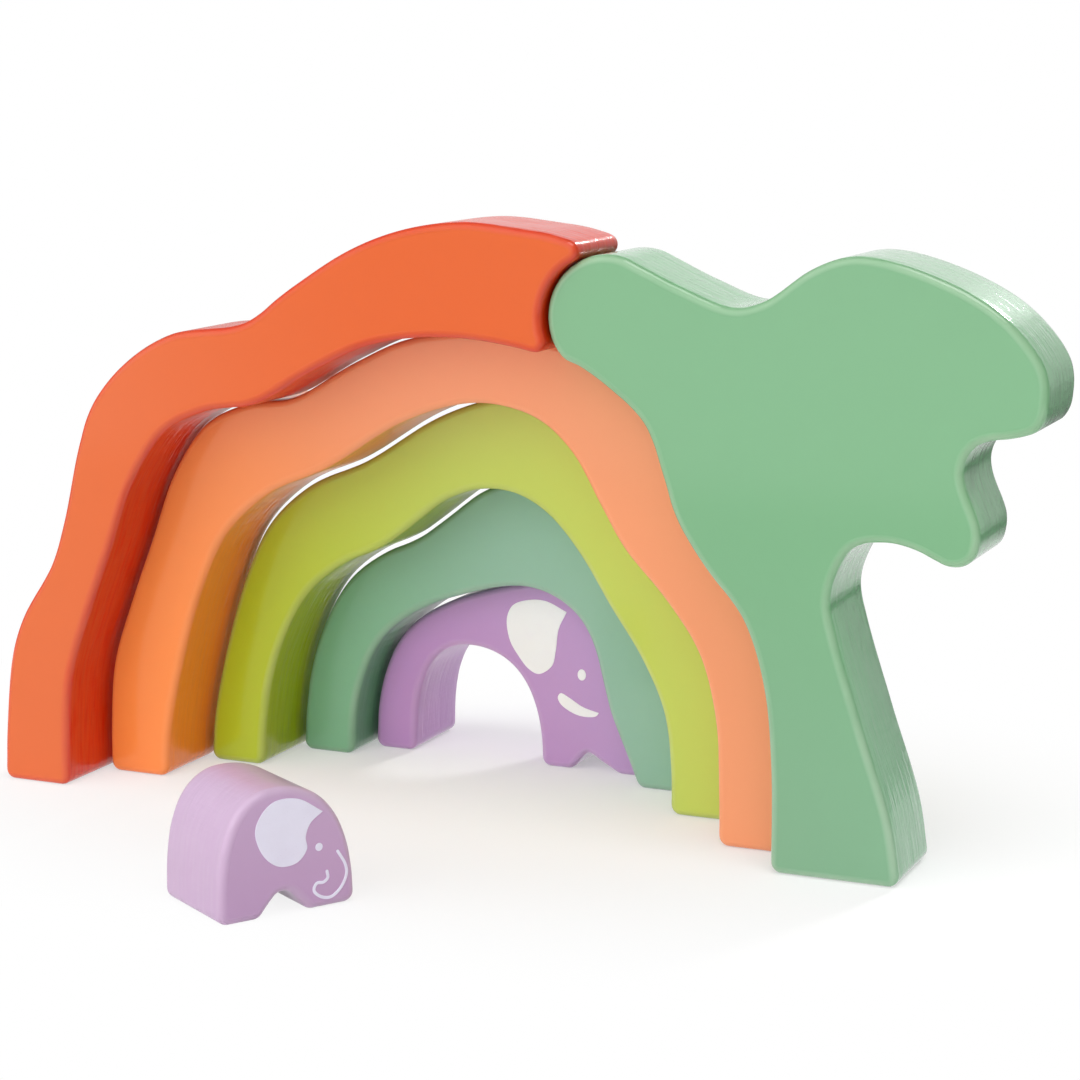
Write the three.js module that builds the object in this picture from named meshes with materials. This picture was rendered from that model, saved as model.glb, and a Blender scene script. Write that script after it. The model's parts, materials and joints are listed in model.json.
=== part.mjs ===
// A nest of wooden blocks: a calf, an adult elephant that arches over it, three arches over
// the elephant, a half arch on top and a tree beside them. Every block is one board, sawn to
// an outline in the XZ plane, with its front and back edges rounded over.
// Millimetres, +Z up, the front of the nest faces -Y, the blocks stand on z = 0.

import * as THREE from 'three';

// Board and edge work
const BOARD = 32; // thickness of every block, front to back
const EDGE_ROUND = 2.4; // round-over along the front and back edges
const CORNER_EASE = 0.6; // how much wider the outline's own corners turn, at feet and tips
const CHORD = 6; // length of one facet along an arch
const FINE_CHORD = 4; // the same along the tighter curves of the tree and the calf
const SHORTEST_EDGE = 0.5; // points of an outline that lie closer together count as one

// Fits between neighbours
const PLAY = 1.1; // clearance left round a block inside the next arch
const CALF_PLAY = 1.8; // the looser clearance left round the calf inside the adult
const SEAT = 0.3; // gap left where one block leans or rests on another
const CUP_PLAY = 0.5; // clearance of the half arch's cupped end where it comes nearest to the tree's knob

// Calf, the core of the nest
const CALF_LENGTH = 40.6;
const CALF_HEIGHT = 34.6;
const CALF_REAR_LEG = 12; // from the calf's back to its belly notch
const CALF_NOTCH_LENGTH = 14.5;
const CALF_NOTCH_HEIGHT = 6.3;

// Adult elephant
const ELEPHANT_REAR_LEG = 14.3;
const ELEPHANT_HEAD = 37.1; // from the belly opening to the trunk's front
const ELEPHANT_BACK = 21.9; // over the belly opening
const ELEPHANT_FORELEG = 10.3; // from the belly opening to the notch behind the trunk
const TRUNK_NOTCH_LENGTH = 16;
const TRUNK_NOTCH_HEIGHT = 5.6;

// Arches, from the inside out: rear leg, front leg and the rise over the block inside
const GREEN_REAR_LEG = 18.1;
const GREEN_FRONT_LEG = 19.1;
const GREEN_CROWN = 32.6;
const LIME_REAR_LEG = 18.8;
const LIME_FRONT_LEG = 23.4;
const LIME_CROWN = 27.9;
const ORANGE_REAR_LEG = 20.1;
const ORANGE_FRONT_LEG = 21.3;
const ORANGE_CROWN = 20.4;
const RED_LEG = 23.1;
const RED_CROWN = 32.2;

// Tree
const TREE_RISE = 26.7; // top of the tree, over the crown of the orange arch
const TREE_REACH = 73; // the leaves' overhang past the side of the orange arch
const TREE_FOOT = 37; // the trunk's foot, from the side of the orange arch
const KNOB_RADIUS = 17.5; // round end of the tree's left branch
const KNOB_INSET = 49; // knob's centre, left of the side of the orange arch
const KNOB_RISE = 7.5; // knob's centre, over the crown of the orange arch
const KNOB_LEAVING_ANGLE = 60; // degrees round the knob to where the branch leaves it
const CUP_FLARE = 0.6; // how much wider the cup turns than the knob and its clearance
const CUP_NEAREST_ANGLE = 125; // degrees round the knob to where the cup comes nearest
const CUP_TIP_ANGLE = 91; // degrees round the cup to the tip of the half arch

// How far each front face stands behind the front of the orange arch
const TREE_STEP = -18;
const RED_STEP = -21;
const LIME_STEP = 24;
const GREEN_STEP = 47;
const ELEPHANT_STEP = 59;

// Where the calf stands, from the middle of its own length
const CALF_ASIDE = 19.5; // to the right of its place in the nest
const CALF_AHEAD = 102; // in front of the orange arch
const CALF_TURN = 58; // degrees

// Paint
const SATIN = 0.38; // roughness
const ORANGE_PAINT = 0xf09a62;
const LIME_PAINT = 0xbcc644;
const GREEN_PAINT = 0x6aa67c;
const LILAC_PAINT = 0xa883b6;
const PALE_LILAC_PAINT = 0xbd9fc6;
const RED_PAINT = 0xe9622f;
const LEAF_PAINT = 0x86c296;

// Outlines as [percent of length, percent of height], from the left foot over to the right
const CALF_LINE = [
  [0, 0], [1, 35], [5, 62], [14, 84], [28, 97], [43, 100],
  [60, 97], [75, 88], [87, 72], [95, 50], [99, 25], [100, 0],
];
const ELEPHANT_LINE = [
  [0, 0], [1, 26], [4.2, 46], [9.7, 63.5], [17.5, 76], [28, 86], [42.5, 94.5], [55, 99.5],
  [63, 100], [71.6, 96], [79, 87.5], [84, 74.5], [87.2, 56.6], [90.3, 37.7], [94.5, 21.4], [100, 0],
];
const GREEN_LINE = [
  [0, 0], [0.6, 14], [2.4, 30.4], [6.5, 47.3], [12.8, 62], [21.3, 71.7], [30.8, 78.3], [39, 87],
  [47, 95.7], [55.2, 100], [63.3, 99.5], [70.7, 94], [78, 82.6], [85.5, 65.8], [92.8, 50],
  [98, 33.7], [99.7, 17.4], [100, 0],
];
const LIME_LINE = [
  [0, 0], [0.6, 11.6], [3.6, 31.4], [8, 51.2], [12.8, 64.5], [20.8, 74.8], [31.4, 81.8],
  [44.7, 93.8], [54.2, 99], [61, 100], [69.2, 97], [74.8, 90], [79.2, 79.3], [83.6, 68.6],
  [91, 56.6], [96.4, 45], [99.2, 29.8], [99.8, 14.9], [100, 0],
];
const ORANGE_LINE = [
  [0, 0], [0, 9.8], [0.9, 24.6], [3.8, 37.9], [7.4, 51.9], [11.4, 67.4], [16.6, 78.2], [23, 82.8],
  [29.8, 84.6], [38.7, 92.3], [46.8, 97.9], [57, 100], [66.9, 98.6], [73.2, 96.1], [78.5, 91.2],
  [83, 84.9], [85.2, 76.5], [87.2, 67.4], [91, 58.3], [96, 48.8], [98.7, 36.5], [99.8, 21], [100, 0],
];
const RED_LINE = [
  [0, 0], [0.4, 9.1], [2, 22.9], [4.3, 29.7], [9.6, 39.1], [12.1, 46.9], [15.2, 60.4], [17.7, 67.4],
  [23.5, 74.7], [31.6, 80], [44, 82.5], [50.9, 87.9], [61.2, 95], [70, 98.6], [79, 100],
  [87, 99.3], [92.5, 98.5], [95.6, 97.5],
];
// The tree from its knob to its foot, with heights as percent of its own: the branch's upper edge
// across the knob's inset, the leaves across their reach, the trunk's edge across its foot
const BRANCH_LINE = [[44.9, 94.1], [74.5, 91.3], [91.8, 92.5]];
const LEAVES_LINE = [
  [13.4, 98], [29.3, 100], [56.2, 97.6], [82.7, 91.8], [98, 84.2], [99.9, 79.6], [97.4, 75],
  [90.4, 73.4], [75.9, 72], [70.7, 69.1], [70.8, 65.6], [76.8, 58.4], [74.7, 54], [67.8, 52.5],
  [51.8, 55], [41.1, 55.6],
];
const TRUNK_LINE = [
  [59.4, 54.4], [46, 49.6], [42.4, 45.4], [47.4, 40.2], [70, 24.9], [91.9, 10.6], [100, 0],
];
const CALF_NOTCH_LINE = [[0, 0], [20, 55], [40, 96], [60, 96], [82, 50], [100, 0]];
const TRUNK_NOTCH_LINE = [[0, 0], [16, 55], [34, 100], [60, 62], [100, 0]];

const cornerRound = EDGE_ROUND + CORNER_EASE;

// [percent, percent] pairs laid over a box that stands on the floor
function laidOver(pairs, left, width, height) {
  return pairs.map(([u, v]) => new THREE.Vector2(left + (u / 100) * width, (v / 100) * height));
}

// Evenly spaced points along a smooth curve through the given knots
function smooth(knots, chord) {
  const places = knots.map((p) => new THREE.Vector3(p.x, p.y, 0));
  const curve = new THREE.CatmullRomCurve3(places, false, 'centripetal');
  const pieces = Math.max(4, Math.round(curve.getLength() / chord));
  return curve.getSpacedPoints(pieces).map((p) => new THREE.Vector2(p.x, p.y));
}

// The line moved sideways by a distance, to its left where the distance is positive
function beside(line, distance) {
  const last = line.length - 1;
  return line.map((point, i) => {
    const along = line[Math.min(i + 1, last)].clone().sub(line[Math.max(i - 1, 0)]).normalize();
    return point.clone().addScaledVector(new THREE.Vector2(-along.y, along.x), distance);
  });
}

// The cavity for a block whose outer line is walked from left to right: it clears the line by
// the play all round, then moves left until the block leans on its right side, and down by the drop
function cavity(line, play, drop) {
  const shift = new THREE.Vector2(SEAT - play, -drop);
  const moved = beside(line, play).map((p) => p.add(shift));
  const standing = moved.filter((p) => p.y > 0);
  const start = new THREE.Vector2(standing[0].x, 0);
  const end = new THREE.Vector2(standing.at(-1).x, 0);
  return [start, ...standing, end];
}

// Splits a line where it first comes within a circle
function splitAtCircle(line, centre, radius) {
  const inside = line.findIndex((p) => p.distanceTo(centre) < radius);
  const outer = line[inside - 1];
  const inner = line[inside];
  const gapOut = outer.distanceTo(centre) - radius;
  const gapIn = radius - inner.distanceTo(centre);
  const meeting = outer.clone().lerp(inner, gapOut / (gapOut + gapIn));
  return { before: [...line.slice(0, inside), meeting], after: [meeting, ...line.slice(inside)] };
}

// Points on an arc, in degrees
function arc(centre, radius, from, to, chord) {
  const sweep = THREE.MathUtils.degToRad(to - from);
  const pieces = Math.max(4, Math.round(Math.abs(sweep) * radius / chord));
  return Array.from({ length: pieces + 1 }, (unused, i) => {
    const angle = THREE.MathUtils.degToRad(from) + (sweep * i) / pieces;
    return new THREE.Vector2(centre.x + radius * Math.cos(angle), centre.y + radius * Math.sin(angle));
  });
}

function angleFrom(centre, point) {
  const angle = THREE.MathUtils.radToDeg(Math.atan2(point.y - centre.y, point.x - centre.x));
  return (angle + 360) % 360;
}

// Where two pieces of line cross, or nothing
function crossing(a, b, c, d) {
  const r = b.clone().sub(a);
  const s = d.clone().sub(c);
  const det = r.cross(s);
  const t = c.clone().sub(a).cross(s) / det;
  const u = c.clone().sub(a).cross(r) / det;
  return t >= 0 && t <= 1 && u >= 0 && u <= 1 ? a.clone().addScaledVector(r, t) : null;
}

// The point of a line nearest to a place, with the number of the piece it lies on
function nearest(line, place) {
  let best = null;
  for (let i = 0; i + 1 < line.length; i += 1) {
    const span = line[i + 1].clone().sub(line[i]);
    const t = THREE.MathUtils.clamp(place.clone().sub(line[i]).dot(span) / span.lengthSq(), 0, 1);
    const point = line[i].clone().addScaledVector(span, t);
    if (!best || point.distanceTo(place) < best.point.distanceTo(place)) {
      best = { point, piece: i };
    }
  }
  return best;
}

// The centre of the circle that touches both lines near the corner between them
function cornerCentre(arriving, leaving, distance) {
  const a = beside(arriving, distance);
  const b = beside(leaving, distance);
  for (let i = a.length - 2; i >= 0; i -= 1) {
    for (let j = 0; j + 1 < b.length; j += 1) {
      const centre = crossing(a[i], a[i + 1], b[j], b[j + 1]);
      if (centre) {
        return centre;
      }
    }
  }
  return null;
}

// Joins lines, walked clockwise, into one closed outline with every join rounded
function closedOutline(lines) {
  const chain = [];
  lines.forEach((line, i) => {
    const next = lines[(i + 1) % lines.length];
    chain.push(line);
    if (line.at(-1).distanceTo(next[0]) > SHORTEST_EDGE) {
      chain.push([line.at(-1), next[0]]);
    }
  });
  const rounds = chain.map((line, i) => {
    const next = chain[(i + 1) % chain.length];
    const centre = cornerCentre(line, next, -cornerRound);
    return { centre, end: nearest(line, centre), start: nearest(next, centre) };
  });
  const outline = [];
  chain.forEach((line, i) => {
    const begin = rounds[(i + chain.length - 1) % chain.length].start;
    const { centre, end, start } = rounds[i];
    outline.push(...line.slice(begin.piece + 1, end.piece + 1));
    const from = angleFrom(centre, end.point);
    const sweep = (from - angleFrom(centre, start.point) + 360) % 360;
    outline.push(...arc(centre, cornerRound, from, from - sweep, cornerRound / 2));
  });
  return outline.filter((p, i) => p.distanceTo(outline.at(i - 1)) > SHORTEST_EDGE);
}

// A board sawn to an outline, its front and back edges rounded over, its front face at y = 0
function board(outline) {
  const geometry = new THREE.ExtrudeGeometry(new THREE.Shape(outline), {
    depth: BOARD - 2 * EDGE_ROUND,
    steps: 1,
    bevelEnabled: true,
    bevelThickness: EDGE_ROUND,
    bevelSize: EDGE_ROUND,
    bevelOffset: -EDGE_ROUND,
    bevelSegments: 2,
  });
  geometry.translate(0, 0, EDGE_ROUND - BOARD);
  return geometry.rotateX(Math.PI / 2);
}

function block(name, outline, colour, front) {
  const paint = new THREE.MeshStandardMaterial({ color: colour, roughness: SATIN, metalness: 0 });
  const mesh = new THREE.Mesh(board(outline), paint);
  mesh.name = name;
  mesh.position.y = front;
  return mesh;
}

function highest(line) {
  return Math.max(...line.map((p) => p.y));
}

// An arch over the block inside: its opening clears that block, which leans on its right leg
function archOver(inside, play, rearLeg, frontLeg, crown, pairs) {
  const opening = cavity(inside, play, 0);
  const left = opening[0].x - rearLeg;
  const right = opening.at(-1).x + frontLeg;
  const over = smooth(laidOver(pairs, left, right - left, highest(opening) + crown), CHORD);
  return { over, opening };
}

// The nest's lines, from the calf outward
const calfRear = -CALF_LENGTH / 2;
const calfOver = smooth(laidOver(CALF_LINE, calfRear, CALF_LENGTH, CALF_HEIGHT), FINE_CHORD);
const elephant = archOver(
  calfOver, CALF_PLAY, ELEPHANT_REAR_LEG, ELEPHANT_HEAD, ELEPHANT_BACK, ELEPHANT_LINE,
);
const green = archOver(
  elephant.over, PLAY, GREEN_REAR_LEG, GREEN_FRONT_LEG, GREEN_CROWN, GREEN_LINE,
);
const lime = archOver(green.over, PLAY, LIME_REAR_LEG, LIME_FRONT_LEG, LIME_CROWN, LIME_LINE);
const orange = archOver(
  lime.over, PLAY, ORANGE_REAR_LEG, ORANGE_FRONT_LEG, ORANGE_CROWN, ORANGE_LINE,
);
const orangeSide = orange.over.at(-1).x;
const orangeTop = highest(orange.over);
const knob = new THREE.Vector2(orangeSide - KNOB_INSET, orangeTop + KNOB_RISE);

// A notch in the underside, walked from right to left
function notch(pairs, left, length, height) {
  return smooth(laidOver(pairs, left, length, height), FINE_CHORD / 2).reverse();
}

function calfOutline() {
  const belly = notch(CALF_NOTCH_LINE, calfRear + CALF_REAR_LEG, CALF_NOTCH_LENGTH, CALF_NOTCH_HEIGHT);
  return closedOutline([calfOver, belly]);
}

function elephantOutline() {
  const behindTrunk = elephant.opening.at(-1).x + ELEPHANT_FORELEG;
  const trunk = notch(TRUNK_NOTCH_LINE, behindTrunk, TRUNK_NOTCH_LENGTH, TRUNK_NOTCH_HEIGHT);
  return closedOutline([elephant.over, trunk, [...elephant.opening].reverse()]);
}

function archOutline(arch) {
  return closedOutline([arch.over, [...arch.opening].reverse()]);
}

// The half arch rests on the orange arch, just past its crown, and ends in a cup round the knob
function redOutline() {
  const cup = KNOB_RADIUS + CUP_PLAY + CUP_FLARE;
  const nearestWay = THREE.MathUtils.degToRad(CUP_NEAREST_ANGLE);
  const towards = new THREE.Vector2(Math.cos(nearestWay), Math.sin(nearestWay));
  const cupCentre = knob.clone().addScaledVector(towards, -CUP_FLARE);
  const underside = cavity(orange.over, PLAY, PLAY - 2 * SEAT);
  const { before } = splitAtCircle(underside, cupCentre, cup);
  const lowest = angleFrom(cupCentre, before.at(-1));
  const end = arc(cupCentre, cup, CUP_TIP_ANGLE, lowest, FINE_CHORD);
  const left = underside[0].x - RED_LEG;
  const knots = laidOver(RED_LINE, left, knob.x - left, highest(underside) + RED_CROWN);
  const over = smooth([...knots, end[0]], CHORD);
  return closedOutline([over, end, before.reverse()]);
}

// The tree leans on the side of the orange arch, its knob reaches back over the arch's shoulder
function treeOutline() {
  const { after } = splitAtCircle(cavity(orange.over, PLAY, 0), knob, KNOB_RADIUS);
  const round = arc(knob, KNOB_RADIUS, angleFrom(knob, after[0]), KNOB_LEAVING_ANGLE, FINE_CHORD);
  const height = orangeTop + TREE_RISE;
  const knots = [
    round.at(-1),
    ...laidOver(BRANCH_LINE, knob.x, KNOB_INSET, height),
    ...laidOver(LEAVES_LINE, orangeSide, TREE_REACH, height),
    ...laidOver(TRUNK_LINE, orangeSide, TREE_FOOT, height),
  ];
  const over = smooth(knots, FINE_CHORD);
  return closedOutline([[...round, ...over.slice(1)], after.reverse()]);
}

const nest = new THREE.Group();
nest.add(block('orange_arch', archOutline(orange), ORANGE_PAINT, 0));
nest.add(block('lime_arch', archOutline(lime), LIME_PAINT, LIME_STEP));
nest.add(block('green_arch', archOutline(green), GREEN_PAINT, GREEN_STEP));
nest.add(block('elephant', elephantOutline(), LILAC_PAINT, ELEPHANT_STEP));
nest.add(block('red_arch', redOutline(), RED_PAINT, RED_STEP));
nest.add(block('tree', treeOutline(), LEAF_PAINT, TREE_STEP));

const stray = new THREE.Group();
stray.add(block('calf', calfOutline(), PALE_LILAC_PAINT, 0));
stray.position.set(CALF_ASIDE, -CALF_AHEAD, 0);
stray.rotation.z = THREE.MathUtils.degToRad(CALF_TURN);
nest.add(stray);

// The origin lies on the floor under the middle of the whole set
const set = new THREE.Group();
set.add(nest);
const middle = new THREE.Box3().setFromObject(nest, true).getCenter(new THREE.Vector3());
nest.position.set(-middle.x, -middle.y, 0);

export default set;
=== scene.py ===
"""Looks of the elephant block set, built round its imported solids.

Every block is one painted board. Its solid gives the outline and the place; here the same board is built
again with a smooth outline and a fine round-over, lacquered, and printed where it carries a face.
Blender works in metres; sizes named in millimetres are turned into metres by mm().
"""

import json
import logging
import math
from dataclasses import dataclass, field
from enum import Enum

import bpy
import numpy as np
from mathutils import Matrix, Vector


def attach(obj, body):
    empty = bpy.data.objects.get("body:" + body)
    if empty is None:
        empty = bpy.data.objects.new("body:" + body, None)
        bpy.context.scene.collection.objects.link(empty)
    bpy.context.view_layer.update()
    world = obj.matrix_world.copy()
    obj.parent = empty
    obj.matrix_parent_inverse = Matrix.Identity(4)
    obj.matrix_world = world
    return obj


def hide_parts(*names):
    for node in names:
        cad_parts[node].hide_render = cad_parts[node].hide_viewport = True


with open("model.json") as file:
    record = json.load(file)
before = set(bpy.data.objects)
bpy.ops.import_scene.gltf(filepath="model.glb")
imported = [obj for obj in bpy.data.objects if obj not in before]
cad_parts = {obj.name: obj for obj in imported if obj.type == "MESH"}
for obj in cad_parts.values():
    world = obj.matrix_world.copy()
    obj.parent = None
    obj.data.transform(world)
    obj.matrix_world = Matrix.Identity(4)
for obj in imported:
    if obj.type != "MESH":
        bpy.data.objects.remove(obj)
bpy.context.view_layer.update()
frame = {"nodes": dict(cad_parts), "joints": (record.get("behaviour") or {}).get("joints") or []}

logging.basicConfig(level=logging.INFO, format="%(message)s")
log = logging.getLogger("block_set")

UP = Vector((0.0, 0.0, 1.0))
MM_PER_METRE = 1000.0

Point = tuple[float, float]
Way = tuple[float, float, float]
Socket = bpy.types.NodeSocket
EVEN: Way = (1.0, 1.0, 1.0)
WHITE = (1.0, 1.0, 1.0, 1.0)


def mm(length: float) -> float:
    """Millimetres as metres."""
    return length / MM_PER_METRE


def paint(code: str) -> tuple[float, float, float, float]:
    """Turns a display colour into the linear colour that shaders take.

    Args:
        code: six hexadecimal digits, red, green and blue.

    Returns:
        The linear colour, opaque.
    """
    shown = [int(code[i:i + 2], 16) / 255.0 for i in (0, 2, 4)]
    linear = [c / 12.92 if c <= 0.04045 else ((c + 0.055) / 1.055) ** 2.4 for c in shown]
    return (linear[0], linear[1], linear[2], 1.0)


@dataclass(frozen=True)
class Grain:
    """Noise drawn out along a board, through it and upward, with its fineness and its height in relief."""

    stretch: Way
    per_metre: float
    detail: float
    height: float = 1.0


class Texture(Enum):
    """Unevenness of painted wood: strokes on sawn walls, streaks breaking up the painted wall shading,
    blotches, pebbles, thin ink.
    """

    LONG_STROKES = Grain((0.1, 1.0, 0.1), 420.0, 3.0)
    SHORT_STROKES = Grain((0.35, 1.0, 0.35), 900.0, 2.0, 0.4)
    CROSS_STROKES = Grain((1.0, 0.12, 1.0), 330.0, 3.0, 0.45)
    SHADING_STREAKS = Grain((0.1, 1.0, 0.1), 800.0, 4.0)
    MOTTLE = Grain(EVEN, 45.0, 3.0, 1.2)
    PEBBLES = Grain(EVEN, 700.0, 2.0, 0.03)
    INK_SPECKS = Grain(EVEN, 2400.0, 2.0)
    INK_CLOUDS = Grain(EVEN, 160.0, 3.0)


class Ray(Enum):
    """Kinds of ray that see the studio as white paper."""

    CAMERA = "Is Camera Ray"
    GLOSSY = "Is Glossy Ray"


class NodeSheet:
    """A node tree with short ways to add and link its nodes."""

    def __init__(self, tree: bpy.types.NodeTree) -> None:
        """Empties the tree and keeps it."""
        tree.nodes.clear()
        self.tree = tree

    def add(self, kind: str, **settings: object) -> bpy.types.Node:
        """Adds a node.

        Args:
            kind: Blender's name of the node type.
            settings: properties of the node to set.

        Returns:
            The new node.
        """
        node = self.tree.nodes.new(kind)
        for name, value in settings.items():
            setattr(node, name, value)
        return node

    def feed(self, socket: Socket, value: object) -> None:
        """Links a socket to another one, or sets its value.

        Args:
            socket: the input to fill.
            value: an output socket or a plain value.
        """
        if isinstance(value, bpy.types.NodeSocket):
            self.tree.links.new(value, socket)
        else:
            socket.default_value = value

    def math(self, operation: str, first: object, second: object) -> Socket:
        """Adds a Math node.

        Args:
            operation: the node's operation.
            first: first input.
            second: second input.

        Returns:
            The result's socket.
        """
        node = self.add("ShaderNodeMath", operation=operation)
        self.feed(node.inputs[0], first)
        self.feed(node.inputs[1], second)
        return node.outputs[0]

    def ramp(self, value: Socket, low: float, high: float, start: float = 0.0, end: float = 1.0) -> Socket:
        """Maps a range smoothly onto another, clamped.

        Args:
            value: what is mapped.
            low: value that gives start.
            high: value that gives end.
            start: result at low.
            end: result at high.

        Returns:
            The result's socket.
        """
        node = self.add("ShaderNodeMapRange", interpolation_type="SMOOTHSTEP")
        for name, given in zip(("Value", "From Min", "From Max", "To Min", "To Max"),
                               (value, low, high, start, end)):
            self.feed(node.inputs[name], given)
        return node.outputs["Result"]

    def texture(self, place: Socket, kind: Texture) -> Socket:
        """Adds a stretched Noise texture.

        Args:
            place: coordinates.
            kind: what it draws.

        Returns:
            The noise between 0 and 1.
        """
        grain = kind.value
        node = self.add("ShaderNodeTexNoise")
        self.feed(node.inputs["Vector"], self.stretched(place, grain.stretch))
        self.feed(node.inputs["Scale"], grain.per_metre)
        self.feed(node.inputs["Detail"], grain.detail)
        return node.outputs["Fac"]

    def bump(self, height: Socket, strength: float, depth: float) -> Socket:
        """Adds a Bump node.

        Args:
            height: the relief between 0 and 1.
            strength: how much of the relief shows.
            depth: depth of the full relief.

        Returns:
            The bent normal's socket.
        """
        node = self.add("ShaderNodeBump")
        node.inputs["Strength"].default_value = strength
        node.inputs["Distance"].default_value = depth
        self.feed(node.inputs["Height"], height)
        return node.outputs["Normal"]

    def surface(self, shader: Socket, output: str = "ShaderNodeOutputMaterial") -> None:
        """Links a shader to a new output node."""
        self.feed(self.add(output).inputs["Surface"], shader)

    def mix(self, share: object, first: object, second: object) -> Socket:
        """Mixes two colours.

        Args:
            share: how much of the second colour.
            first: first colour.
            second: second colour.

        Returns:
            The mixed colour's socket.
        """
        node = self.add("ShaderNodeMix", data_type="RGBA")
        self.feed(node.inputs[0], share)
        self.feed(node.inputs[6], first)
        self.feed(node.inputs[7], second)
        return node.outputs[2]

    def stretched(self, place: Socket, scale: Way) -> Socket:
        """Coordinates scaled along each axis.

        Args:
            place: coordinates.
            scale: factors along X, Y and Z.

        Returns:
            The scaled coordinates' socket.
        """
        node = self.add("ShaderNodeMapping")
        self.feed(node.inputs["Vector"], place)
        node.inputs["Scale"].default_value = scale
        return node.outputs["Vector"]

    def share_of(self, place: Socket, way: Vector | Way) -> Socket:
        """How far coordinates reach along a direction.

        Args:
            place: coordinates.
            way: the direction.

        Returns:
            The dot product's socket.
        """
        node = self.add("ShaderNodeVectorMath", operation="DOT_PRODUCT")
        self.feed(node.inputs[0], place)
        self.feed(node.inputs[1], way)
        return node.outputs["Value"]


def new_material(name: str) -> tuple[bpy.types.Material, NodeSheet]:
    """Makes an empty node material.

    Args:
        name: the material's name.

    Returns:
        The material and its sheet of nodes.
    """
    made = bpy.data.materials.new(name)
    made.use_nodes = True
    return made, NodeSheet(made.node_tree)


def set_in_scene(name: str, data: bpy.types.ID) -> bpy.types.Object:
    """Makes an object and links it into the scene.

    Args:
        name: the object's name.
        data: its mesh, lamp or camera.

    Returns:
        The new object.
    """
    made = bpy.data.objects.new(name, data)
    bpy.context.scene.collection.objects.link(made)
    return made


@dataclass(frozen=True)
class Stand:
    """The upright plane that a board is drawn in: its length runs along, its depth inward."""

    along: Vector
    inward: Vector

    def place(self, point: np.ndarray, depth: float) -> Vector:
        """A drawn point at a depth, in the frame."""
        return self.along * float(point[0]) + UP * float(point[1]) + self.inward * depth

    def draw(self, places: np.ndarray) -> np.ndarray:
        """Length, height and depth of places in the frame, one per row."""
        return places @ np.column_stack((self.along, UP, self.inward))


FACING = Stand(Vector((1.0, 0.0, 0.0)), Vector((0.0, 1.0, 0.0)))


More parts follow.
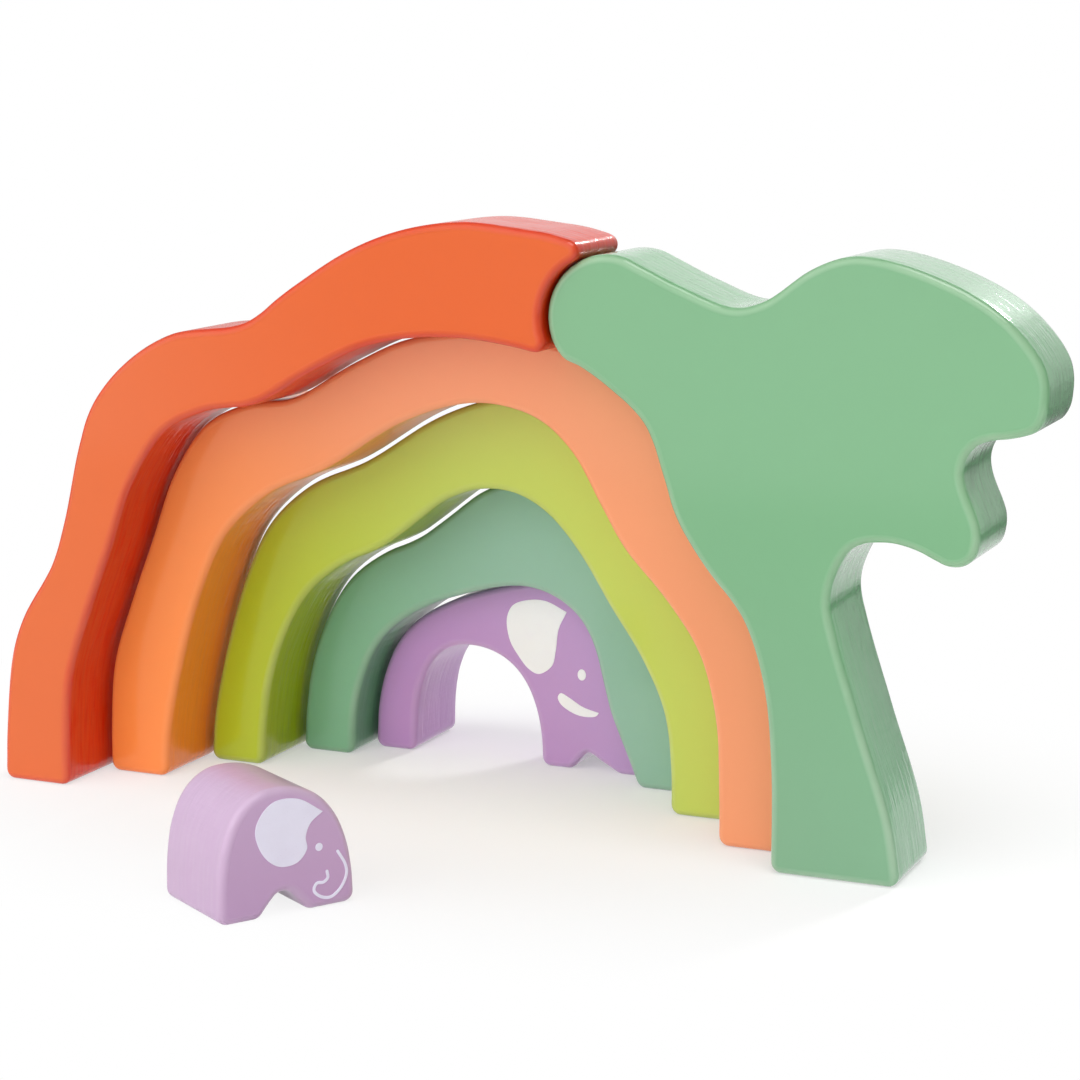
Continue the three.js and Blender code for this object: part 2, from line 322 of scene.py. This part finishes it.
@dataclass(frozen=True)
class Lacquer:
    """Glossy opaque lacquer, sanding strokes on its sawn walls, painted light and shade in its colour."""

    name: str
    colour: str
    # Painted light and shade: the colour grades toward a second colour along a way across the board, where
    # light and reflection fall.
    painted_light_colour: str
    painted_light_low: float
    painted_light_high: float
    painted_light_way: Point = (1.0, 0.5)
    # Painted highlight together with thinner paint on the rims.
    rim_thin_paint_and_highlight_colour: str = "fffaf2"
    rim_thin_paint_and_highlight: float = 0.05
    rim_uneven: float = 0.3
    rim_span: Point = (0.25, 0.75)
    # Painted shading of the walls: a lighter or darker copy of the colour, laid on in streaks, for how light
    # falls on the sides.
    side_shading_hue: float = 0.5
    side_shading_saturation: float = 1.15
    side_shading_value: float = 0.88
    side_shading_least: float = 0.7
    side_shading_span: Point = (0.35, 0.75)
    roughness: float = 0.4
    rough_uneven: float = 0.05
    rough_span: Point = (0.3, 0.7)
    specular: float = 0.1
    coat: float = 0.55
    coat_roughness: float = 0.1
    relief: float = 1.0
    relief_depth: float = mm(0.25)

    def material(self, stand: Stand) -> bpy.types.Material:
        """Builds the lacquer's node material.

        Args:
            stand: the plane of the board, which the strokes follow.

        Returns:
            The material, reading the board's rim and wall attributes.
        """
        made, sheet = new_material(self.name)
        place = sheet.add("ShaderNodeTexCoord").outputs["Object"]
        axes = sheet.add("ShaderNodeCombineXYZ")
        for socket, way in zip(axes.inputs, (stand.along, stand.inward, UP)):
            sheet.feed(socket, sheet.share_of(place, way))
        drawn = axes.outputs["Vector"]
        rim = sheet.add("ShaderNodeAttribute", attribute_name="rim").outputs["Fac"]
        wall = sheet.add("ShaderNodeAttribute", attribute_name="wall").outputs["Fac"]
        mottle = sheet.texture(drawn, Texture.MOTTLE)

        shader = sheet.add("ShaderNodeBsdfPrincipled")
        shader.inputs["Coat Weight"].default_value = self.coat
        shader.inputs["Coat Roughness"].default_value = self.coat_roughness
        shader.inputs["Specular IOR Level"].default_value = self.specular
        sheet.feed(shader.inputs["Base Color"], self._colour(sheet, drawn, mottle, rim, wall))
        smooth, rough = self.roughness - self.rough_uneven, self.roughness + self.rough_uneven
        sheet.feed(shader.inputs["Roughness"], sheet.ramp(mottle, *self.rough_span, smooth, rough))
        bent = self._relief(sheet, drawn, mottle, wall)
        sheet.feed(shader.inputs["Normal"], bent)
        sheet.feed(shader.inputs["Coat Normal"], bent)
        sheet.surface(shader.outputs["BSDF"])
        return made

    def _colour(self, sheet: NodeSheet, drawn: Socket, mottle: Socket, rim: Socket, wall: Socket) -> Socket:
        """Paint colour with painted light and shade: a gradient, streaky wall shading, and rim highlights
        over thinner rim paint.

        Args:
            sheet: the material's nodes.
            drawn: coordinates along the board, through it and upward.
            mottle: broad noise.
            rim: 1 in the middle of a round-over.
            wall: 1 on the sawn walls, 0 on the faces.

        Returns:
            The colour's socket.
        """
        # Painted light and shade: a gradient toward the second colour, lighter or deeper where light and
        # reflection fall on the board.
        along = sheet.share_of(drawn, (self.painted_light_way[0], 0.0, self.painted_light_way[1]))
        painted_light = sheet.ramp(along, mm(self.painted_light_low), mm(self.painted_light_high))
        base = sheet.mix(painted_light, paint(self.colour), paint(self.painted_light_colour))
        # Painted shading: the walls take a lighter or darker copy of the colour, in streaks, for how light
        # falls on the sides.
        sawn = sheet.add("ShaderNodeHueSaturation")
        sawn.inputs["Hue"].default_value = self.side_shading_hue
        sawn.inputs["Saturation"].default_value = self.side_shading_saturation
        sawn.inputs["Value"].default_value = self.side_shading_value
        sheet.feed(sawn.inputs["Color"], base)
        streaks = sheet.texture(drawn, Texture.SHADING_STREAKS)
        side_shading_share = sheet.math("MULTIPLY", sheet.ramp(streaks, *self.side_shading_span, self.side_shading_least, 1.0), wall)
        body = sheet.mix(side_shading_share, base, sawn.outputs["Color"])
        # Painted highlight together with thinner paint: the rims are mixed toward a near white colour.
        most, least = self.rim_thin_paint_and_highlight * (1 + self.rim_uneven), self.rim_thin_paint_and_highlight * (1 - self.rim_uneven)
        thin = sheet.math("MULTIPLY", rim, sheet.ramp(mottle, *self.rim_span, most, least))
        return sheet.mix(thin, body, paint(self.rim_thin_paint_and_highlight_colour))

    def _relief(self, sheet: NodeSheet, drawn: Socket, mottle: Socket, wall: Socket) -> Socket:
        """Relief of the lacquer: sanding strokes on the sawn walls, a faint pebbling all over.

        Args:
            sheet: the material's nodes.
            drawn: coordinates along the board, through it and upward.
            mottle: broad noise.
            wall: 1 on the sawn walls, 0 on the faces.

        Returns:
            The bent normal's socket.
        """
        sanded = sheet.math("MULTIPLY", mottle, Texture.MOTTLE.value.height)
        for kind in (Texture.LONG_STROKES, Texture.SHORT_STROKES, Texture.CROSS_STROKES):
            strokes = sheet.math("MULTIPLY", sheet.texture(drawn, kind), kind.value.height)
            sanded = sheet.math("ADD", sanded, strokes)
        pebbles = sheet.texture(drawn, Texture.PEBBLES)
        pebbles = sheet.math("MULTIPLY", pebbles, Texture.PEBBLES.value.height)
        height = sheet.math("ADD", sheet.math("MULTIPLY", sanded, wall), pebbles)
        return sheet.bump(height, self.relief, self.relief_depth)


@dataclass(frozen=True)
class Ink:
    """Printed ink: nearly opaque, slightly thin in specks and clouds where the lacquer shows through."""

    name: str
    colour: str
    under: str
    speck_thin: float = 0.2
    speck_span: Point = (0.6, 0.8)
    cloud_thin: float = 0.1
    cloud_span: Point = (0.4, 0.8)
    smooth: float = 0.4
    rough: float = 0.55
    rough_span: Point = (0.3, 0.7)
    coat: float = 0.3
    coat_roughness: float = 0.2
    relief: float = 0.25
    relief_depth: float = mm(0.05)

    def material(self) -> bpy.types.Material:
        """Builds the ink's node material.

        Returns:
            The material.
        """
        made, sheet = new_material(self.name)
        place = sheet.add("ShaderNodeTexCoord").outputs["Object"]
        specks = sheet.texture(place, Texture.INK_SPECKS)
        clouds = sheet.texture(place, Texture.INK_CLOUDS)
        thin = sheet.math("ADD", sheet.ramp(specks, *self.speck_span, 0.0, self.speck_thin),
                          sheet.ramp(clouds, *self.cloud_span, 0.0, self.cloud_thin))
        shader = sheet.add("ShaderNodeBsdfPrincipled")
        shader.inputs["Coat Weight"].default_value = self.coat
        shader.inputs["Coat Roughness"].default_value = self.coat_roughness
        sheet.feed(shader.inputs["Base Color"], sheet.mix(thin, paint(self.colour), paint(self.under)))
        sheet.feed(shader.inputs["Roughness"], sheet.ramp(clouds, *self.rough_span, self.smooth, self.rough))
        sheet.feed(shader.inputs["Normal"], sheet.bump(specks, self.relief, self.relief_depth))
        sheet.surface(shader.outputs["BSDF"])
        return made


def hermite(start: np.ndarray, end: np.ndarray, leave: np.ndarray, arrive: np.ndarray,
            count: int) -> np.ndarray:
    """Points along a cubic between two ends, without the last one.

    Args:
        start: first end.
        end: second end.
        leave: tangent at the first end, for the whole span.
        arrive: tangent at the second end, for the whole span.
        count: number of points.

    Returns:
        The points, one per row.
    """
    t = (np.arange(count) / count)[:, None]
    weights = (2 * t**3 - 3 * t**2 + 1, t**3 - 2 * t**2 + t, 3 * t**2 - 2 * t**3, t**3 - t**2)
    return weights[0] * start + weights[1] * leave + weights[2] * end + weights[3] * arrive


def evenly(line: np.ndarray, step: float) -> np.ndarray:
    """Walks a polyline in even steps.

    Args:
        line: points, one per row; a closed line repeats its first point at the end.
        step: wanted distance between points.

    Returns:
        The points, without the line's last one.
    """
    lengths = np.hypot(*np.diff(line, axis=0).T)
    walked = np.concatenate(([0.0], np.cumsum(lengths)))
    count = max(8, round(walked[-1] / step))
    stops = np.arange(count) * walked[-1] / count
    return np.column_stack([np.interp(stops, walked, line[:, k]) for k in (0, 1)])


def smooth_line(knots: np.ndarray, closed: bool, floor: float | None = None,
                fineness: int = 16) -> np.ndarray:
    """A centripetal curve through knots; spans that lie on the floor stay straight.

    Args:
        knots: points, one per row.
        closed: joins the last knot to the first.
        floor: height under which a span counts as lying on the floor, if any does.
        fineness: points for each span.

    Returns:
        A dense polyline, which repeats its first point at the end where it is closed.
    """
    total = len(knots)
    if closed:
        padded = np.vstack((knots[-1:], knots, knots[:2]))
    else:
        padded = np.vstack((2 * knots[0] - knots[1], knots, 2 * knots[-1] - knots[-2]))
    spans = np.sqrt(np.maximum(np.hypot(*np.diff(padded, axis=0).T), 1e-9))
    moves = np.diff(padded, axis=0) / spans[:, None]
    low = floor is not None and np.array([max(a[1], b[1]) < floor for a, b in zip(padded[:-1], padded[1:])])
    speeds = np.zeros_like(padded)
    for i in range(1, len(padded) - 1):
        before, after = spans[i - 1], spans[i]
        speeds[i] = moves[i - 1] - (padded[i + 1] - padded[i - 1]) / (before + after) + moves[i]
        if floor is not None and low[i - 1] != low[i]:
            flat = moves[i - 1] if low[i - 1] else moves[i]
            speeds[i] = flat / np.hypot(*flat) * np.hypot(*speeds[i])
    pieces = []
    for i in range(1, total + 1 if closed else total):
        straight = floor is not None and low[i]
        chord = padded[i + 1] - padded[i]
        leave = chord if straight else speeds[i] * spans[i]
        arrive = chord if straight else speeds[i + 1 if i < total else 1] * spans[i]
        pieces.append(hermite(padded[i], padded[i + 1], leave, arrive, fineness))
    pieces.append(knots[:1] if closed else knots[-1:])
    return np.vstack(pieces)


def outward(loop: np.ndarray) -> np.ndarray:
    """Unit normals of a closed loop that is walked anticlockwise.

    Args:
        loop: points, one per row.

    Returns:
        Normals that point out of the loop.
    """
    along = np.roll(loop, -1, axis=0) - np.roll(loop, 1, axis=0)
    along /= np.hypot(along[:, 0], along[:, 1])[:, None]
    return np.column_stack((along[:, 1], -along[:, 0]))


def anticlockwise(loop: np.ndarray) -> np.ndarray:
    """The loop, turned round if it is walked clockwise."""
    ahead = np.roll(loop, -1, axis=0)
    area = np.sum(loop[:, 0] * ahead[:, 1] - ahead[:, 0] * loop[:, 1])
    return loop if area > 0 else loop[::-1]


@dataclass(frozen=True)
class Ring:
    """One ring of a plate: how far it lies inside the outline, its depth, and how much it is rim and wall."""

    inset: float
    depth: float
    rim: float = 0.0
    wall: float = 0.0


def plate(name: str, stand: Stand, loop: np.ndarray, rings: list[Ring]) -> bpy.types.Object:
    """Builds a closed plate from rings that follow one outline.

    Args:
        name: the piece's name.
        stand: the plane of the outline.
        loop: the outline, anticlockwise as seen from the front.
        rings: rings from the front cap to the back cap.

    Returns:
        The new object, smooth shaded, with rim and wall attributes.
    """
    normals = outward(loop)
    count = len(loop)
    corners = [stand.place(point, ring.depth) for ring in rings for point in loop - normals * ring.inset]
    faces = [list(range(count))]
    for level in range(len(rings) - 1):
        near, far = level * count, (level + 1) * count
        for i in range(count):
            k = (i + 1) % count
            faces.append([near + k, near + i, far + i, far + k])
    back = (len(rings) - 1) * count
    faces.append([back + i for i in reversed(range(count))])
    mesh = bpy.data.meshes.new(name)
    mesh.from_pydata(corners, [], faces)
    for attribute in ("rim", "wall"):
        values = np.repeat([getattr(ring, attribute) for ring in rings], count).astype(np.float32)
        mesh.attributes.new(attribute, "FLOAT", "POINT").data.foreach_set("value", values)
    mesh.shade_smooth()
    mesh.validate()
    return set_in_scene(name, mesh)


@dataclass
class Board:
    """One sawn and rounded board, read from its solid and rebuilt with a smooth outline."""

    node: str
    slot: str
    finish: Lacquer
    stand: Stand = FACING
    edge_round: float = mm(2.4)
    cap_margin: float = mm(0.4)
    step: float = mm(0.9)
    round_steps: int = 8
    wall_steps: int = 4
    weld: float = mm(0.01)
    floor: float = mm(0.05)
    front: float = field(init=False)
    back: float = field(init=False)
    left: float = field(init=False)

    def outline(self) -> np.ndarray:
        """Reads the board's widest outline from its solid, and keeps its faces' depths and its left edge.

        Returns:
            The outline's corners as lengths and heights, anticlockwise.
        """
        mesh = frame["nodes"][self.node].data
        drawn = self.stand.draw(np.array([v.co for v in mesh.vertices]))
        cells, place = np.unique(np.round(drawn / self.weld).astype(int), axis=0, return_inverse=True)
        place = place.ravel()
        depths = np.unique(cells[:, 2])
        wall = int(np.argmax(np.diff(depths)))
        on_wall = np.abs(cells[:, 2] - depths[wall]) <= 1
        links: dict[int, set[int]] = {}
        for edge in mesh.edges:
            a, b = (int(place[v]) for v in edge.vertices)
            if a != b and on_wall[a] and on_wall[b]:
                links.setdefault(a, set()).add(b)
                links.setdefault(b, set()).add(a)
        start = next(iter(links))
        walk, last = [start], None
        while True:
            onward = next(n for n in links[walk[-1]] if n != last)
            last = walk[-1]
            if onward == start:
                break
            walk.append(onward)
        self.front = float(drawn[:, 2].min())
        self.back = float(drawn[:, 2].max())
        self.left = float(drawn[:, 0].min())
        return anticlockwise(cells[walk, :2] * self.weld)

    def rings(self) -> list[Ring]:
        """Rings over the front round-over, along the wall and over the back round-over.

        Returns:
            The rings from front to back.
        """
        over = []
        for k in range(self.round_steps + 1):
            turn = math.pi / 2 * k / self.round_steps
            inset = self.edge_round * (1 - math.sin(turn))
            depth = self.edge_round * (1 - math.cos(turn))
            over.append(Ring(inset, depth, math.sin(2 * turn), math.sin(turn)))
        thickness = self.back - self.front
        straight = thickness - 2 * self.edge_round
        walls = [Ring(0.0, self.edge_round + straight * k / self.wall_steps, 0.0, 1.0)
                 for k in range(1, self.wall_steps)]
        cap = Ring(self.edge_round + self.cap_margin, 0.0)
        near = [cap, *over]
        far = [Ring(r.inset, thickness - r.depth, r.rim, r.wall) for r in reversed(near)]
        return [Ring(r.inset, self.front + r.depth, r.rim, r.wall) for r in (*near, *walls, *far)]

    def build(self) -> bpy.types.Object:
        """Builds the board, dresses it and puts it in its solid's place.

        Returns:
            The board's object.
        """
        corners = self.outline()
        loop = evenly(smooth_line(corners, True, self.floor), self.step)
        piece = plate(f"{self.node}_board", self.stand, loop, self.rings())
        self.dress(piece)
        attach(piece, self.node)
        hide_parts(self.node)
        depth = (self.back - self.front) * MM_PER_METRE
        log.info("%s: %d faces, %.0f mm deep", piece.name, len(piece.data.polygons), depth)
        return piece

    def dress(self, piece: bpy.types.Object) -> None:
        """Lacquers the board."""
        piece.data.materials.append(self.finish.material(self.stand))


@dataclass(frozen=True)
class PrintedMark:
    """A printed patch, drawn through points in millimetres from the board's left edge and the floor."""

    name: str
    points: tuple[Point, ...]
    tipped: bool = True

    def loop(self, left: float, step: float) -> np.ndarray:
        """The patch's closed outline, with a sharp tip at its first point where it has one.

        Args:
            left: the board's left edge.
            step: wanted distance between points.

        Returns:
            The outline, anticlockwise.
        """
        knots = np.array(self.points) / MM_PER_METRE + (left, 0.0)
        if self.tipped:
            knots = np.vstack((knots, knots[:1]))
        return anticlockwise(evenly(smooth_line(knots, not self.tipped), step))


@dataclass(frozen=True)
class PrintedDot:
    """A printed round or oval dot, in millimetres from the board's left edge and the floor."""

    name: str
    centre: Point
    half_width: float
    half_height: float
    corners: int = 72

    def loop(self, left: float, step: float) -> np.ndarray:
        """The dot's closed outline.

        Args:
            left: the board's left edge.
            step: wanted distance between points.

        Returns:
            The outline, anticlockwise.
        """
        turns = np.linspace(0.0, 2 * math.pi, self.corners + 1)
        oval = np.column_stack((self.half_width * np.cos(turns), self.half_height * np.sin(turns)))
        return evenly((oval + self.centre) / MM_PER_METRE + (left, 0.0), step)


@dataclass(frozen=True)
class PrintedLine:
    """A printed line with round ends, in millimetres from the board's left edge and the floor."""

    name: str
    points: tuple[Point, ...]
    width: float
    end_corners: int = 5

    def loop(self, left: float, step: float) -> np.ndarray:
        """The line's closed outline.

        Args:
            left: the board's left edge.
            step: wanted distance between points.

        Returns:
            The outline, anticlockwise.
        """
        dense = smooth_line(np.array(self.points), False)
        line = np.vstack((evenly(dense, step * MM_PER_METRE), dense[-1:]))
        along = np.gradient(line, axis=0)
        along /= np.hypot(along[:, 0], along[:, 1])[:, None]
        side = np.column_stack((-along[:, 1], along[:, 0])) * self.width / 2
        turns = np.linspace(0.0, math.pi, self.end_corners + 2)[1:-1]
        tip = [line[-1] + math.cos(t) * side[-1] + math.sin(t) * along[-1] * self.width / 2 for t in turns]
        tail = [line[0] - math.cos(t) * side[0] - math.sin(t) * along[0] * self.width / 2 for t in turns]
        ring = np.vstack((line + side, tip, (line - side)[::-1], tail))
        return anticlockwise(ring / MM_PER_METRE + (left, 0.0))


Mark = PrintedMark | PrintedDot | PrintedLine


@dataclass
class PrintedBlock:
    """A board with ink marks on its front face."""

    board: Board
    ink: Ink
    marks: tuple[Mark, ...]
    film: float = mm(0.12)
    sunk: float = mm(0.05)
    step: float = mm(0.35)

    def build(self) -> None:
        """Builds the board and prints its marks."""
        self.board.build()
        material = self.ink.material()
        for mark in self.marks:
            self.print_mark(mark, material)

    def print_mark(self, mark: Mark, material: bpy.types.Material) -> None:
        """Lays one film of ink on the front face.

        Args:
            mark: what is printed.
            material: the ink.
        """
        face = self.board.front
        rings = [Ring(self.film, face - self.film), Ring(self.film * 0.5, face - self.film),
                 Ring(0.0, face - self.film * 0.5), Ring(0.0, face + self.sunk)]
        piece = plate(f"{self.board.node}_{mark.name}", self.board.stand,
                      mark.loop(self.board.left, self.step), rings)
        piece.data.materials.append(material)
        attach(piece, self.board.node)
        log.info("%s: %d faces", piece.name, len(piece.data.polygons))


@dataclass
class BlockSet:
    """All the blocks, from the outside of the nest to the calf in front."""

    def boards(self) -> list[Board]:
        """The plain boards.

        Returns:
            The arches, the half arch and the tree.
        """
        # In each lacquer the second colour and its range are a painted light gradient, the rim whitening is
        # painted highlight with thinner paint, and the wall settings paint the walls lighter or darker as
        # light falls.
        orange = Lacquer("orange_lacquer", "fd9247", "f49b6c", painted_light_low=-100, painted_light_high=60,
                         side_shading_saturation=1.05, side_shading_value=1.0)
        lime = Lacquer("lime_lacquer", "b7cb28", "c1d55d", painted_light_low=-80, painted_light_high=40, rim_thin_paint_and_highlight=0.1,
                       side_shading_value=0.75)
        green = Lacquer("green_lacquer", "83bb93", "96c1ab", painted_light_low=-70, painted_light_high=30, rim_thin_paint_and_highlight=0.1,
                        side_shading_value=0.72)
        red = Lacquer("red_lacquer", "e06b36", "dd5a0a", painted_light_low=-120, painted_light_high=60, rim_thin_paint_and_highlight=0.03,
                      side_shading_hue=0.48, side_shading_value=0.95)
        leaf = Lacquer("leaf_lacquer", "79a883", "73ab7c", painted_light_way=(0.0, 1.0), painted_light_low=0, painted_light_high=110,
                       rim_thin_paint_and_highlight=0.15, side_shading_saturation=1.2, side_shading_value=1.0, coat=1.0)
        return [
            Board("orange_arch", "orange_paint", orange),
            Board("lime_arch", "lime_paint", lime),
            Board("green_arch", "green_paint", green),
            Board("red_arch", "red_paint", red),
            Board("tree", "leaf_paint", leaf),
        ]

    def elephant(self) -> PrintedBlock:
        """The adult with its printed ear, eye and tusk.

        Returns:
            The printed block.
        """
        # Painted light on the lilac: a gradient toward the second colour, and slightly lighter walls.
        finish = Lacquer("lilac_lacquer", "c593ce", "c9a1d4", painted_light_low=-60, painted_light_high=30,
                         side_shading_saturation=0.9, side_shading_value=1.02)
        ear = PrintedMark("ear", (
            (67.2, 50.3), (64.5, 44.7), (63.5, 37.6), (62.2, 32.7), (57.7, 29.7), (54.3, 31.0), (50.6, 35.1),
            (47.8, 39.7), (46.8, 46.7), (48.9, 51.0), (54.3, 53.1), (60.1, 53.2)))
        eye = PrintedDot("eye", (72.3, 30.8), 1.4, 1.8)
        tusk = PrintedMark("tusk", (
            (78.1, 19.2), (77.1, 18.0), (72.0, 17.6), (67.6, 19.1), (64.9, 21.1), (64.2, 23.0), (65.2, 24.3),
            (68.3, 23.0), (72.7, 20.6)))
        return PrintedBlock(Board("elephant", "lilac_paint", finish), Ink("white_ink", "ffffff", "e8def0"),
                            (ear, eye, tusk))

    def calf(self) -> PrintedBlock:
        """The calf, turned on the floor, with its printed ear, eye and trunk.

        Returns:
            The printed block.
        """
        walk = next(j for j in frame["joints"] if j["child"] == "calf")
        along = Vector(walk["axis"]).normalized()
        # Painted light on the calf: paler toward its top and on its walls, where light falls.
        finish = Lacquer("pale_lilac_lacquer", "c5a1c7", "ccaace", painted_light_way=(0.0, 1.0), painted_light_low=0,
                         painted_light_high=34, rim_thin_paint_and_highlight=0.03, side_shading_saturation=0.75, side_shading_value=1.06, coat=0.25)
        ear = PrintedMark("ear", (
            (30.7, 26.4), (26.9, 23.7), (25.5, 20.3), (25.8, 17.0), (22.9, 13.8), (17.4, 13.6), (12.9, 17.2),
            (10.6, 23.8), (12.4, 28.2), (16.3, 31.2), (23.2, 31.0)))
        eye = PrintedDot("eye", (29.4, 16.9), 1.1, 1.1)
        trunk = PrintedLine("trunk", (
            (35.0, 14.8), (37.2, 11.0), (37.6, 8.3), (35.8, 4.7), (32.7, 2.7), (29.7, 3.3), (27.7, 5.3),
            (28.5, 7.1), (30.6, 7.1), (31.9, 8.1), (31.7, 9.9)), 0.85)
        board = Board("calf", "pale_lilac_paint", finish, Stand(along, UP.cross(along)), step=mm(0.6))
        return PrintedBlock(board, Ink("pale_ink", "eeeafc", "d0c0da"), (ear, eye, trunk))

    def build(self) -> None:
        """Builds every block."""
        for board in self.boards():
            board.build()
        self.elephant().build()
        self.calf().build()


@dataclass(frozen=True)
class Softbox:
    """A soft patch of light in the room: where it is, its light, and the cosines where it fades and fills."""

    toward: Way
    light: float
    fades: float
    fills: float


@dataclass
class Studio:
    """A white floor in a white room, softboxes round the set, a low key light behind it and the camera."""

    floor_half: float = 0.6
    floor_drop: float = mm(0.05)
    floor_white: float = 0.93
    floor_dim: float = 0.15
    dim_way: Way = (0.36, 0.93, 0.0)
    dim_starts: float = 0.26
    dim_full: float = 0.46
    glow_least: float = 0.38
    glow_round: Way = (0.0, 0.05, 0.0)
    glow_stretch: Way = (0.6, 1.0, 1.0)
    glow_starts: float = 0.04
    glow_full: float = 0.17
    mirror_full: float = 0.3
    mirror_ends: float = 0.55
    room_light: float = 0.22
    above: Softbox = Softbox((0.25, -0.28, 0.93), 4.5, 0.93, 0.98)
    front: Softbox = Softbox((-0.36, -0.88, 0.32), 1.55, 0.5, 0.95)
    backdrop: Softbox = Softbox((-0.25, 0.92, 0.3), 0.8, 0.86, 0.97)
    side: Softbox = Softbox((0.45, 0.88, 0.12), 0.55, 0.93, 0.98)
    key_light: float = 1.45
    key_from: Way = (0.18, 0.84, 0.5)
    key_spread: float = 8.0
    lens: float = 90.0
    sight: float = 50.0
    eye: Way = (0.31628, -0.68089, 0.22489)
    tilt: float = 79.5
    turn: float = 23.7

    def build(self) -> None:
        """Builds the room, the light and the camera."""
        self.lay_floor()
        self.light_room()
        self.hang_key_light()
        self.set_camera()

    def lay_floor(self) -> None:
        """Lays the floor of white paper."""
        half, low = self.floor_half, -self.floor_drop
        mesh = bpy.data.meshes.new("floor")
        corners = [(-half, -half, low), (half, -half, low), (half, half, low), (-half, half, low)]
        mesh.from_pydata(corners, [], [(0, 1, 2, 3)])
        floor = set_in_scene("floor", mesh)
        mesh.materials.append(self.paper())

    def paper(self) -> bpy.types.Material:
        """Builds the floor's paper.

        It keeps the shadows near the set. To the camera it turns plain white away from the set, and glossy
        paint mirrors it as plain white. It darkens far behind, so that no edge of it shows in the paint.

        Returns:
            The material.
        """
        made, sheet = new_material("floor_paper")
        place = sheet.add("ShaderNodeTexCoord").outputs["Object"]
        behind = sheet.share_of(place, self.dim_way)
        paper = sheet.add("ShaderNodeBsdfDiffuse")
        tone = sheet.ramp(behind, self.dim_starts, self.dim_full, self.floor_white, self.floor_dim)
        sheet.feed(paper.inputs["Color"], tone)
        away = sheet.add("ShaderNodeVectorMath", operation="DISTANCE")
        sheet.feed(away.inputs[0], sheet.stretched(place, self.glow_stretch))
        sheet.feed(away.inputs[1], self.glow_round)
        glow = sheet.ramp(away.outputs["Value"], self.glow_starts, self.glow_full, self.glow_least, 1.0)
        mirror = sheet.ramp(behind, self.mirror_full, self.mirror_ends, 1.0, 0.0)
        rays = sheet.add("ShaderNodeLightPath").outputs
        shown = sheet.math("MULTIPLY", rays[Ray.CAMERA.value], glow)
        mirrored = sheet.math("MULTIPLY", rays[Ray.GLOSSY.value], mirror)
        both = sheet.add("ShaderNodeMixShader")
        sheet.feed(both.inputs[0], sheet.math("ADD", shown, mirrored))
        sheet.feed(both.inputs[1], paper.outputs["BSDF"])
        sheet.feed(both.inputs[2], sheet.add("ShaderNodeEmission").outputs["Emission"])
        sheet.surface(both.outputs["Shader"])
        return made

    def light_room(self) -> None:
        """Lights the set with dim walls and the softboxes, in a room that is white to the camera."""
        world = bpy.data.worlds.new("white_room")
        bpy.context.scene.world = world
        world.use_nodes = True
        sheet = NodeSheet(world.node_tree)
        way = sheet.add("ShaderNodeTexCoord").outputs["Generated"]
        light: Socket | float = self.room_light
        for box in (self.above, self.front, self.backdrop, self.side):
            share = sheet.share_of(way, Vector(box.toward).normalized())
            light = sheet.math("ADD", sheet.ramp(share, box.fades, box.fills, 0.0, box.light), light)
        strength = sheet.add("ShaderNodeMix", data_type="FLOAT")
        sheet.feed(strength.inputs[0], sheet.add("ShaderNodeLightPath").outputs[Ray.CAMERA.value])
        sheet.feed(strength.inputs[2], light)
        sheet.feed(strength.inputs[3], 1.0)
        room = sheet.add("ShaderNodeBackground")
        room.inputs["Color"].default_value = WHITE
        sheet.feed(room.inputs["Strength"], strength.outputs[0])
        sheet.surface(room.outputs["Background"], "ShaderNodeOutputWorld")

    def hang_key_light(self) -> None:
        """Hangs the key light behind the set."""
        lamp = bpy.data.lights.new("key_light", "SUN")
        lamp.energy = self.key_light
        lamp.angle = math.radians(self.key_spread)
        key = set_in_scene("key_light", lamp)
        key.rotation_euler = Vector(self.key_from).to_track_quat("Z", "Y").to_euler()

    def set_camera(self) -> None:
        """Stands the camera where the photograph was taken from."""
        lens = bpy.data.cameras.new("camera")
        lens.lens = self.lens
        lens.clip_end = self.sight
        camera = set_in_scene("camera", lens)
        camera.location = self.eye
        camera.rotation_euler = (math.radians(self.tilt), 0.0, math.radians(self.turn))
        bpy.context.scene.camera = camera


def main() -> None:
    """Builds the studio and the blocks in order."""
    bpy.context.scene.view_settings.view_transform = "Standard"
    Studio().build()
    BlockSet().build()


if __name__ == "__main__":
    main()
